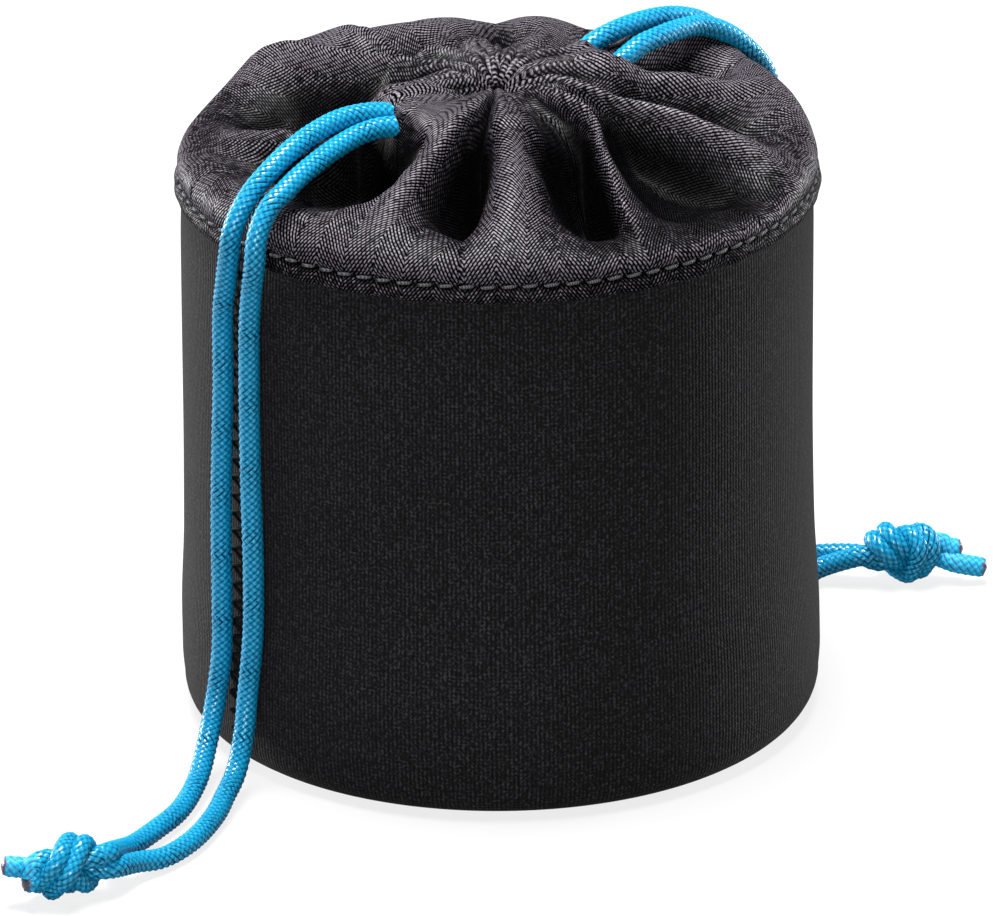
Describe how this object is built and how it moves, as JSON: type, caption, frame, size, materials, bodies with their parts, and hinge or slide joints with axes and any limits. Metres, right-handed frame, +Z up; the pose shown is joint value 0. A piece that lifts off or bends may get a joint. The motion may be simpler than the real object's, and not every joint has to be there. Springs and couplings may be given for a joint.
{
  "type": "lens pouch",
  "caption": "Soft cylindrical lens pouch with a padded wall, a gathered cloth collar that opens and closes over the mouth, and knotted drawcords hanging on opposite sides.",
  "frame": {"origin": "centre of the pouch's base on the floor", "axes": "+Z up along the pouch's axis, +X through the right cord's way out, -X through the left cord's way out and the side seam"},
  "size_m": [0.1941, 0.1014, 0.1072],
  "materials": {
    "neoprene": "matte black knit face over foam",
    "twill": "charcoal twill with a slight sheen",
    "thread": "black sewing thread",
    "cord": "blue braided cord"
  },
  "bodies": {
    "pouch": {"base_panel": "neoprene", "side_panel": "neoprene", "hem_band": "twill", "hem_stitch": "thread", "side_seam": "thread", "left_cord_a_rim": "cord", "left_cord_b_rim": "cord", "left_cord_a": "cord", "left_cord_b": "cord", "left_knot": "cord", "left_tail_a": "cord", "left_tail_b": "cord", "right_cord_a_rim": "cord", "right_cord_b_rim": "cord", "right_cord_a": "cord", "right_cord_b": "cord", "right_knot": "cord", "right_tail_a": "cord", "right_tail_b": "cord"},
    "gore_01": {"collar_gore_01": "twill", "right_cord_a_top": "cord", "right_cord_b_top": "cord"},
    "gore_02": {"collar_gore_02": "twill"},
    "gore_03": {"collar_gore_03": "twill"},
    "gore_04": {"collar_gore_04": "twill"},
    "gore_05": {"collar_gore_05": "twill"},
    "gore_06": {"collar_gore_06": "twill"},
    "gore_07": {"collar_gore_07": "twill", "left_cord_a_top": "cord", "left_cord_b_top": "cord"},
    "gore_08": {"collar_gore_08": "twill"},
    "gore_09": {"collar_gore_09": "twill"},
    "gore_10": {"collar_gore_10": "twill"},
    "gore_11": {"collar_gore_11": "twill"},
    "gore_12": {"collar_gore_12": "twill"}
  },
  "joints": [
    {"name": "mouth_open", "type": "hinge", "parent": "pouch", "child": "gore_01", "pos_m": [0.046, 0, 0.0939], "axis": [0, 1, 0], "range_deg": [0, 100], "deforming": ["right_cord_a_rim", "right_cord_b_rim"]},
    {"name": "gore_02_open", "type": "hinge", "parent": "pouch", "child": "gore_02", "pos_m": [0.03984, 0.023, 0.0939], "axis": [-0.5, 0.866, 0], "range_deg": [0, 100]},
    {"name": "gore_03_open", "type": "hinge", "parent": "pouch", "child": "gore_03", "pos_m": [0.023, 0.03984, 0.0939], "axis": [-0.866, 0.5, 0], "range_deg": [0, 100]},
    {"name": "gore_04_open", "type": "hinge", "parent": "pouch", "child": "gore_04", "pos_m": [0, 0.046, 0.0939], "axis": [-1, 0, 0], "range_deg": [0, 100]},
    {"name": "gore_05_open", "type": "hinge", "parent": "pouch", "child": "gore_05", "pos_m": [-0.023, 0.03984, 0.0939], "axis": [-0.866, -0.5, 0], "range_deg": [0, 100]},
    {"name": "gore_06_open", "type": "hinge", "parent": "pouch", "child": "gore_06", "pos_m": [-0.03984, 0.023, 0.0939], "axis": [-0.5, -0.866, 0], "range_deg": [0, 100]},
    {"name": "gore_07_open", "type": "hinge", "parent": "pouch", "child": "gore_07", "pos_m": [-0.046, 0, 0.0939], "axis": [0, -1, 0], "range_deg": [0, 100], "deforming": ["left_cord_a_rim", "left_cord_b_rim"]},
    {"name": "gore_08_open", "type": "hinge", "parent": "pouch", "child": "gore_08", "pos_m": [-0.03984, -0.023, 0.0939], "axis": [0.5, -0.866, 0], "range_deg": [0, 100]},
    {"name": "gore_09_open", "type": "hinge", "parent": "pouch", "child": "gore_09", "pos_m": [-0.023, -0.03984, 0.0939], "axis": [0.866, -0.5, 0], "range_deg": [0, 100]},
    {"name": "gore_10_open", "type": "hinge", "parent": "pouch", "child": "gore_10", "pos_m": [0, -0.046, 0.0939], "axis": [1, 0, 0], "range_deg": [0, 100]},
    {"name": "gore_11_open", "type": "hinge", "parent": "pouch", "child": "gore_11", "pos_m": [0.023, -0.03984, 0.0939], "axis": [0.866, 0.5, 0], "range_deg": [0, 100]},
    {"name": "gore_12_open", "type": "hinge", "parent": "pouch", "child": "gore_12", "pos_m": [0.03984, -0.023, 0.0939], "axis": [0.5, 0.866, 0], "range_deg": [0, 100]}
  ],
  "couplings": [
    {"joint": "gore_02_open", "follows": "mouth_open", "ratio": 1},
    {"joint": "gore_03_open", "follows": "mouth_open", "ratio": 1},
    {"joint": "gore_04_open", "follows": "mouth_open", "ratio": 1},
    {"joint": "gore_05_open", "follows": "mouth_open", "ratio": 1},
    {"joint": "gore_06_open", "follows": "mouth_open", "ratio": 1},
    {"joint": "gore_07_open", "follows": "mouth_open", "ratio": 1},
    {"joint": "gore_08_open", "follows": "mouth_open", "ratio": 1},
    {"joint": "gore_09_open", "follows": "mouth_open", "ratio": 1},
    {"joint": "gore_10_open", "follows": "mouth_open", "ratio": 1},
    {"joint": "gore_11_open", "follows": "mouth_open", "ratio": 1},
    {"joint": "gore_12_open", "follows": "mouth_open", "ratio": 1}
  ]
}
